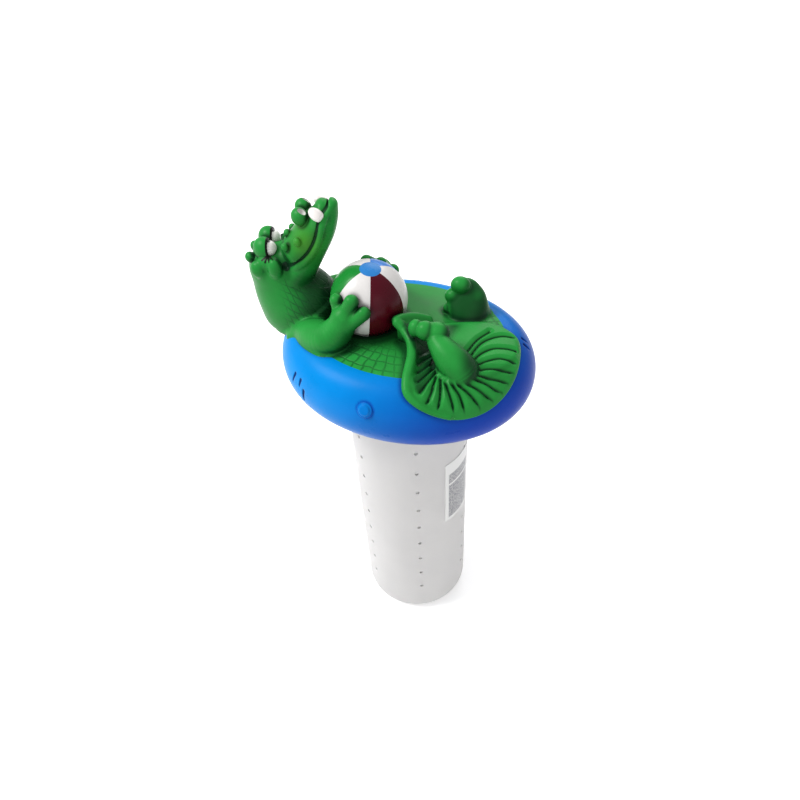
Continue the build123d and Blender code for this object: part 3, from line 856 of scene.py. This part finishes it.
def score_lines(tree):
    """Thin lines wherever a row or column number passes a whole number."""
    source = tree.nodes.new("ShaderNodeAttribute")
    source.attribute_name = "scales"
    parts = tree.nodes.new("ShaderNodeSeparateXYZ")
    tree.links.new(source.outputs["Vector"], parts.inputs["Vector"])
    wobble = tree.nodes.new("ShaderNodeTexNoise")
    wobble.inputs["Scale"].default_value = 120.0
    place = tree.nodes.new("ShaderNodeTexCoord")
    tree.links.new(place.outputs["Object"], wobble.inputs["Vector"])
    shake = ramp_node(tree, wobble.outputs["Fac"], 0.3, 0.7, -0.09, 0.09)
    lines = []
    for axis in ("X", "Y"):
        number = math_node(tree, "ADD", parts.outputs[axis], shake)
        nearest = math_node(tree, "ROUND", number)
        gap = math_node(tree, "ABSOLUTE", math_node(tree, "SUBTRACT", number, nearest))
        lines.append(ramp_node(tree, gap, 0.05, 0.12, 1.0, 0.0))
    both = math_node(tree, "MAXIMUM", lines[0], lines[1])
    return math_node(tree, "MULTIPLY", both, parts.outputs["Z"])


SKIN = material("gator_skin", rough=0.36, bump=0.12, bump_scale=700.0,
                attribute="paint", shine=0.09)
SCORED_SKIN = material("scored_skin", rough=0.36, bump=0.12, bump_scale=700.0,
                       attribute="paint", scored=True, shine=0.09)
RING_BLUE = material("ring_blue", rough=0.32, bump=0.10, bump_scale=500.0,
                     attribute="paint", mottle=0.05, shine=0.05)
BALL_PAINT = material("ball_paint", rough=0.26, bump=0.06, bump_scale=700.0,
                      attribute="paint", mottle=0.05, shine=0.16)
EYE_PAINT = material("eye_paint", rough=0.2, coat=0.4, bump=0.03, attribute="paint",
                     mottle=0.03)
TOOTH_PAINT = material("tooth_paint", rough=0.3, coat=0.3, bump=0.06,
                       colour=(0.72, 0.68, 0.66), mottle=0.06)
MILKY = material("milky_plastic", rough=0.42, bump=0.06, bump_scale=300.0,
                 colour=(0.73, 0.72, 0.715), mottle=0.03, mottle_scale=25.0,
                 see_through=0.5)
CUP = material("cup_plastic", rough=0.42, bump=0.06, bump_scale=300.0,
               colour=(0.80, 0.80, 0.79), mottle=0.03, mottle_scale=25.0, see_through=0.5)
# The cup glows faintly: painted light, so that its holes show light grey inside.
cup_glow_shader = CUP.node_tree.nodes["Principled BSDF"]
cup_glow_shader.inputs["Emission Color"].default_value = (1, 1, 1, 1)
cup_glow_shader.inputs["Emission Strength"].default_value = 0.15
SOCKET = material("socket_plastic", rough=0.4, bump=0.06, colour=(0.62, 0.63, 0.62))
RUBBER = material("seal_rubber", rough=0.6, bump=0.15, colour=(0.02, 0.02, 0.02))
LABEL = material("label_film", rough=0.35, bump=0.02, colour=(0.66, 0.66, 0.64))


# The label's printed block in height (mm) and round the drum (radians), and its light bar.
PRINT_BOTTOM, PRINT_TOP, PRINT_START, PRINT_END = 124.5, 177.0, -0.49, 0.06
BAR_Z, BAR_HALF = 166.0, 0.9
PRINT_EDGE, PRINT_SIDE = 1.0, 0.02


def print_label(mat):
    """A blank white border round a grey block of unreadable rows."""
    tree = mat.node_tree
    shader = tree.nodes["Principled BSDF"]
    place = tree.nodes.new("ShaderNodeTexCoord")
    parts = tree.nodes.new("ShaderNodeSeparateXYZ")
    tree.links.new(place.outputs["Object"], parts.inputs["Vector"])
    turn = math_node(tree, "ARCTAN2", parts.outputs["Y"], parts.outputs["X"])
    z = math_node(tree, "MULTIPLY", parts.outputs["Z"], 1 / MM)
    inside = math_node(
        tree, "MULTIPLY", ramp_node(tree, z, PRINT_BOTTOM, PRINT_BOTTOM + PRINT_EDGE),
        ramp_node(tree, z, PRINT_TOP, PRINT_TOP + PRINT_EDGE, 1.0, 0.0))
    inside = math_node(tree, "MULTIPLY", inside,
                       ramp_node(tree, turn, PRINT_START, PRINT_START + PRINT_SIDE))
    inside = math_node(tree, "MULTIPLY", inside,
                       ramp_node(tree, turn, PRINT_END, PRINT_END + PRINT_SIDE, 1.0, 0.0))
    rows = math_node(tree, "ABSOLUTE", math_node(tree, "SINE",
                                                math_node(tree, "MULTIPLY", z, 1.55)))
    noise = tree.nodes.new("ShaderNodeTexNoise")
    noise.inputs["Scale"].default_value = 900.0
    tree.links.new(place.outputs["Object"], noise.inputs["Vector"])
    marks = math_node(tree, "MULTIPLY", ramp_node(tree, rows, 0.3, 0.7),
                      ramp_node(tree, noise.outputs["Fac"], 0.42, 0.52))
    bar = math_node(tree, "COMPARE", z, BAR_Z, BAR_HALF)
    marks = math_node(tree, "SUBTRACT", marks, bar)
    grey = math_node(tree, "MULTIPLY", inside, ramp_node(tree, marks, 0.0, 1.0, 0.5, 1.0))
    grey = math_node(tree, "MULTIPLY", grey, math_node(tree, "SUBTRACT", 1.0, bar))
    blend = tree.nodes.new("ShaderNodeMix")
    blend.data_type = "RGBA"
    blend.inputs["A"].default_value = (0.63, 0.63, 0.62, 1)
    blend.inputs["B"].default_value = (0.13, 0.13, 0.15, 1)
    tree.links.new(grey, blend.inputs["Factor"])
    tree.links.new(blend.outputs["Result"], shader.inputs["Base Color"])


print_label(LABEL)


def dress(obj, mat):
    obj.data.materials.clear()
    obj.data.materials.append(mat)


# ---------------------------------------------------------------- the animal's pieces

NODES = {
    "torso": "torso_shell", "neck": "neck", "head": "head_shell", "jaw": "lower_jaw",
    "arm_right": "arm_right", "arm_left": "arm_left", "leg_right": "leg_right",
    "leg_left": "leg_left", "tail": "tail",
}
STEP = {
    "torso": 0.8, "neck": 0.7, "head": 0.5, "jaw": 0.55, "lids": 0.4, "arm_right": 0.6,
    "arm_left": 0.6, "leg_right": 0.6, "leg_left": 0.6, "tail": 0.5,
}
SMALL_STEP, SMALL_REACH = 0.35, 8


def share_field(name):
    """The skin, kept where that part owns it and tucked just under its neighbours."""
    def field(P):
        total, share = gator(P, name)
        ball_gap = ball(P, BALL_CENTRE, BALL_RADIUS - 0.5)
        f = total + 0.12 * smoothstep(share, 0.0, 0.6)
        f = np.maximum(f, share - 0.6)
        return np.maximum(f, -ball_gap)
    return field


def lids_side(sign):
    """The eyelid on one side of the head."""
    inner = share_field("lids")

    def field(P):
        return np.maximum(inner(P), -sign * to_head(P)[:, 1])
    return field


for name, node in NODES.items():
    low, high = PARTS[name][1:]
    scales = {"torso": deck_scales, "neck": neck_scales}.get(name)
    piece = sculpt("skin_" + node, share_field(name), low, high, STEP[name],
                   green_paint, gator, scales)
    dress(piece, SCORED_SKIN if scales else SKIN)
    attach(piece, "float")
    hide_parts(node)

for side, sign in (("right", -1), ("left", 1)):
    low, high = PARTS["lids"][1:]
    lid = sculpt("skin_eyelid_" + side, lids_side(sign), low, high, STEP["lids"],
                 green_paint, gator)
    dress(lid, SKIN)
    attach(lid, "float")
    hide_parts("eyelid_" + side)


# ---------------------------------------------------------------- eyes and teeth

def eye_place(sign):
    return from_head((EYE_CENTRE[0], sign * EYE_CENTRE[1], EYE_CENTRE[2]))


def eye_paint(sign):
    """White, with a black pupil that looks up."""
    centre = eye_place(sign)
    gaze = unit(np.array([0.12, 0.0, 0.99]) @ HEAD_AXES)

    def paint(P, n):
        c = np.tile(np.array([0.80, 0.79, 0.76]), (len(P), 1))
        d = (P - centre) / EYE_RADIUS
        c = mix(c, BLACK, smoothstep(d @ gaze, 0.955, 0.970))
        return c
    return paint


TOOTH_RADII, TOOTH_TIP = (5.6, 3.6, 3.7), 4.4

for side, sign in (("right", -1), ("left", 1)):
    centre = eye_place(sign)
    eye = sculpt("eye_ball_" + side, lambda P, c=centre: ball(P, c, EYE_RADIUS),
                 centre - SMALL_REACH, centre + SMALL_REACH, SMALL_STEP, eye_paint(sign))
    dress(eye, EYE_PAINT)
    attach(eye, "float")
    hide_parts("eye_" + side)

    tooth_place = from_head((33.9, sign * 11.2, 366.2 - 1.2 * sign))
    along = unit(np.array([0.80, sign * 0.25, -0.45]) @ HEAD_AXES)
    across = unit(np.cross(along, (0, 0, 1)))
    axes = np.array([along, across, np.cross(along, across)])

    def tooth_field(P, c=tooth_place, a=axes):
        f = ellipsoid(P, c, TOOTH_RADII, a)
        q = (P - c) @ a.T
        return smax(f, q[:, 0] - TOOTH_TIP, 1.5)

    tooth = sculpt("tooth_shape_" + side, tooth_field, tooth_place - SMALL_REACH,
                   tooth_place + SMALL_REACH, SMALL_STEP)
    dress(tooth, TOOTH_PAINT)
    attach(tooth, "float")
    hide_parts("tooth_" + side)


# ---------------------------------------------------------------- ball, ring and plug

# The ball's own axes: through its caps, and towards a point on its first seam.
BALL_AXIS = unit((0.17, -0.10, 0.98))
SEAM_POINT = unit((0.452, -0.844, 0.288))
BALL_U = unit(SEAM_POINT - (SEAM_POINT @ BALL_AXIS) * BALL_AXIS)
BALL_V = np.cross(BALL_AXIS, BALL_U)
PANELS = [
    (0.060, 0.000, 0.006), (0.62, 0.60, 0.59), (0.014, 0.17, 0.56), (0.62, 0.60, 0.59),
    (0.010, 0.19, 0.026), (0.62, 0.60, 0.59),
]
CAP_COLOUR = (0.020, 0.17, 0.46)
CAP_ANGLE = math.radians(15.7)
SEAM_DEPTH, SEAM_HALF_WIDTH = 0.16, 0.5


def seam_dip(away):
    return SEAM_DEPTH * math.exp(-((away / SEAM_HALF_WIDTH) ** 2))


def panelled_ball():
    """Six panels and two round caps, with a fine welded seam between them, and painted shade
    where the gator and ring lie close.
    """
    per, rows, cap_rows = 16, 60, 8
    heights = list(np.linspace(0, CAP_ANGLE, cap_rows + 1))
    heights += list(np.linspace(CAP_ANGLE, math.pi - CAP_ANGLE, rows + 1))[1:]
    heights += list(np.linspace(math.pi - CAP_ANGLE, math.pi, cap_rows + 1))[1:]
    turns = len(PANELS) * per
    points, faces, face_colours = [], [], []
    for h in heights[1:-1]:
        for k in range(turns):
            phi = 2 * math.pi * k / turns
            near = min(k % per, per - k % per) * 2 * math.pi / turns * math.sin(h)
            in_cap = min(h, math.pi - h) < CAP_ANGLE - 1e-6
            gap = abs(min(h, math.pi - h) - CAP_ANGLE)
            dip = 0.0 if in_cap else seam_dip(near * BALL_RADIUS)
            dip = max(dip, seam_dip(gap * BALL_RADIUS))
            d = math.sin(h) * (math.cos(phi) * BALL_U + math.sin(phi) * BALL_V)
            points.append(BALL_CENTRE + (BALL_RADIUS - dip) * (d + math.cos(h) * BALL_AXIS))
    top = len(points)
    points.append(BALL_CENTRE + BALL_RADIUS * BALL_AXIS)
    points.append(BALL_CENTRE - BALL_RADIUS * BALL_AXIS)
    for r in range(len(heights) - 1):
        middle = (heights[r] + heights[r + 1]) / 2
        in_cap = min(middle, math.pi - middle) < CAP_ANGLE
        for k in range(turns):
            a, b = k, (k + 1) % turns
            if r == 0:
                faces.append((top, a, b))
            elif r == len(heights) - 2:
                faces.append((top + 1, (r - 1) * turns + b, (r - 1) * turns + a))
            else:
                faces.append(((r - 1) * turns + a, r * turns + a, r * turns + b,
                              (r - 1) * turns + b))
            face_colours.append(CAP_COLOUR if in_cap else PANELS[k // per])
    P = np.array(points)
    # painted shade on the ball where the gator and the ring lie close over it
    n = (P - BALL_CENTRE) / BALL_RADIUS
    reach = 5.0
    f = np.minimum(in_chunks(gator, P + n * reach), ring_field(P + n * reach))
    shade = 1 - 0.6 * smoothstep(1 - f / reach, 0.3, 1.0)
    mesh = bpy.data.meshes.new("ball_skin")
    mesh.from_pydata((P * MM).tolist(), [], faces)
    mesh.shade_smooth()
    attribute = mesh.color_attributes.new("paint", "FLOAT_COLOR", "CORNER")
    rgba = np.ones((len(mesh.loops), 4), np.float32)
    at = 0
    for face, colour in zip(faces, face_colours):
        for v in face:
            rgba[at, :3] = np.array(colour) * shade[v]
            at += 1
    attribute.data.foreach_set("color", rgba.ravel())
    obj = bpy.data.objects.new("ball_skin", mesh)
    bpy.context.scene.collection.objects.link(obj)
    return obj


beach_ball = panelled_ball()
dress(beach_ball, BALL_PAINT)
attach(beach_ball, "float")
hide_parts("beach_ball")

# Dents in the ring: both ends and the radius of each, then the boxes that hold them.
CREASES = [
    ((-55.3, -54.6, 277.0), (-58.9, -54.5, 269.2), 0.9),
    ((-49.3, -58.4, 276.3), (-51.0, -59.0, 271.0), 0.9),
    ((-46.6, -61.5, 270.0), (-48.6, -60.1, 259.9), 1.1),
    ((76.6, 17.8, 288.0), (82.6, 18.6, 284.2), 1.2),
    ((79.2, 13.0, 287.2), (84.8, 13.6, 282.8), 1.2),
    ((-11.3, 59.0, 289.7), (-11.3, 64.0, 286.5), 1.2),
]
CREASE_ZONES = [
    ((-64, -68, 255), (-42, -48, 281)), ((71, 4, 273), (90, 25, 292)),
    ((-16, 54, 282), (-6, 69, 293)),
]


def crease_field(P, crease):
    a, b, r = crease
    return cone(P, a, b, r, r * 0.5)


def ring_detail(P):
    f = ring_field(P)
    for crease in CREASES:
        f = smax(f, -crease_field(P, crease), 0.8)
    return f


# The lit blue and its darker copy for painted shade.
LIT_BLUE = np.array([0.000, 0.205, 0.580])
SHADED_BLUE = np.array([0.003, 0.026, 0.290])
PLUG_PLACE = np.array([3.0, -70.0, 277.0])
PLUG_OUT = unit((0.02, -0.88, 0.47))
PLUG_FLANGE_RADIUS, PLUG_BOSS_RADIUS, PLUG_GROOVE_RADIUS = 5.2, 3.7, 5.4


def plug_coordinates(P):
    """Distance from the plug's axis, and height along it."""
    d = P - PLUG_PLACE
    h = d @ PLUG_OUT
    return norm(d - h[:, None] * PLUG_OUT), h


def ring_paint(P, n):
    """Lit blue with painted shade towards one side, in the hollows under the gator's skin, round
    the plug and in the dents.
    """
    c = np.tile(LIT_BLUE, (len(P), 1))
    # painted shade, growing towards one side and towards the bottom
    t = smoothstep(P[:, 0] * 0.7 - P[:, 1] * 0.25 + (280 - P[:, 2]) * 0.6, -15, 75)
    c = mix(c, SHADED_BLUE, 0.95 * t)
    # painted shade where the gator's skin lies close over the ring
    f = np.minimum(in_chunks(gator, P + n * 4.0), 9)
    c = mix(c, SHADED_BLUE * 0.6, 0.7 * smoothstep(1 - f / 4.0, 0.1, 0.9))
    # painted shade in the groove round the plug
    r, h = plug_coordinates(P)
    groove = np.abs(r - PLUG_GROOVE_RADIUS) + 0.3 * np.abs(h)
    c = mix(c, SHADED_BLUE, 0.6 * (1 - smoothstep(groove, 0.3, 1.5)))
    # painted shade in the dents
    for crease in CREASES:
        c = mix(c, SHADED_BLUE * 0.35, smoothstep(-crease_field(P, crease), -0.5, 0.1))
    return c


def ring_half(sign):
    """One shell of the ring. It runs a little way under the other."""
    def field(P):
        f = ring_detail(P)
        beyond = sign * (RING_MIDDLE - P[:, 2])
        return np.maximum(f + 0.3 * smoothstep(beyond, 0.2, 1.2), beyond - 2.5)
    return field


RING_BOX, RING_STEP = ((-92, -74, 239), (92, 74, 293)), 1.3

for node, sign in (("ring_upper_shell", 1), ("ring_lower_shell", -1)):
    ring = sculpt("vinyl_" + node, ring_half(sign), *RING_BOX, RING_STEP, ring_paint,
                  ring_detail, zones=CREASE_ZONES)
    dress(ring, RING_BLUE)
    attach(ring, "float")
    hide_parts(node)


def plug_field(P):
    """A round boss on a low flange."""
    r, h = plug_coordinates(P)
    f = smax(r - PLUG_FLANGE_RADIUS, h - 0.9, 1.2)
    f = smin(f, smax(r - PLUG_BOSS_RADIUS, h - 2.0, 1.4), 0.5)
    return smax(f, -h - 3.0, 0.5)


plug = sculpt("plug_cap", plug_field, PLUG_PLACE - SMALL_REACH, PLUG_PLACE + SMALL_REACH,
              SMALL_STEP, ring_paint)
dress(plug, RING_BLUE)
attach(plug, "float")
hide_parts("vent_plug")

# ---------------------------------------------------------------- CAD pieces that stay

nodes = frame["nodes"]
dress(nodes["flow_sleeve"], MILKY)
dress(nodes["canister_cup"], CUP)
dress(nodes["gasket"], RUBBER)
dress(nodes["threaded_socket"], SOCKET)
dress(nodes["label"], LABEL)

# ---------------------------------------------------------------- floor, light, camera

FLOOR_HALF = 6
floor_corners = [(-FLOOR_HALF, -FLOOR_HALF, 0), (FLOOR_HALF, -FLOOR_HALF, 0),
                 (FLOOR_HALF, FLOOR_HALF, 0), (-FLOOR_HALF, FLOOR_HALF, 0)]
floor_mesh = bpy.data.meshes.new("floor")
floor_mesh.from_pydata(floor_corners, [], [(0, 1, 2, 3)])
floor = bpy.data.objects.new("floor", floor_mesh)
bpy.context.scene.collection.objects.link(floor)
floor_look = bpy.data.materials.new("floor_look")
floor_look.use_nodes = True
floor_shader = floor_look.node_tree.nodes["Principled BSDF"]
floor_shader.inputs["Base Color"].default_value = (0.9, 0.9, 0.9, 1)
floor_shader.inputs["Roughness"].default_value = 0.7
floor_shader.inputs["Emission Color"].default_value = (1, 1, 1, 1)
floor_shader.inputs["Emission Strength"].default_value = 0.30
floor_mesh.materials.append(floor_look)

bpy.context.scene.view_settings.view_transform = "Standard"
world = bpy.data.worlds.new("studio")
bpy.context.scene.world = world
world.use_nodes = True
sky = world.node_tree.nodes["Background"]
sky.inputs["Color"].default_value = (1, 1, 1, 1)
sky.inputs["Strength"].default_value = 0.72


def area_light(name, place, target, size, power):
    """A round soft light aimed at target. Places in metres."""
    data = bpy.data.lights.new(name, "AREA")
    data.shape = "DISK"
    data.size = size
    data.energy = power
    light = bpy.data.objects.new(name, data)
    light.location = place
    light.rotation_euler = (Vector(target) - Vector(place)).to_track_quat("-Z", "Y").to_euler()
    bpy.context.scene.collection.objects.link(light)


area_light("key", (-2.2, -1.0, 3.0), (0, 0, 0.25), 1.6, 125)
area_light("fill", (1.2, -1.0, 0.9), (0, 0, 0.2), 0.9, 1.5)
area_light("rim", (-0.2, 1.3, 1.2), (0, 0, 0.25), 0.9, 6)

# The photo's viewing angle.
camera_data = bpy.data.cameras.new("camera")
camera_data.sensor_width = 36
camera_data.lens = 28.17
camera_data.clip_start = 0.01
camera = bpy.data.objects.new("camera", camera_data)
camera.matrix_world = Matrix((
    (0.9162, -0.23805, 0.32235, 0.14462),
    (0.39779, 0.63734, -0.65997, -0.31014),
    (-0.04834, 0.73289, 0.67862, 0.54016),
    (0, 0, 0, 1),
))
bpy.context.scene.collection.objects.link(camera)
bpy.context.scene.camera = camera
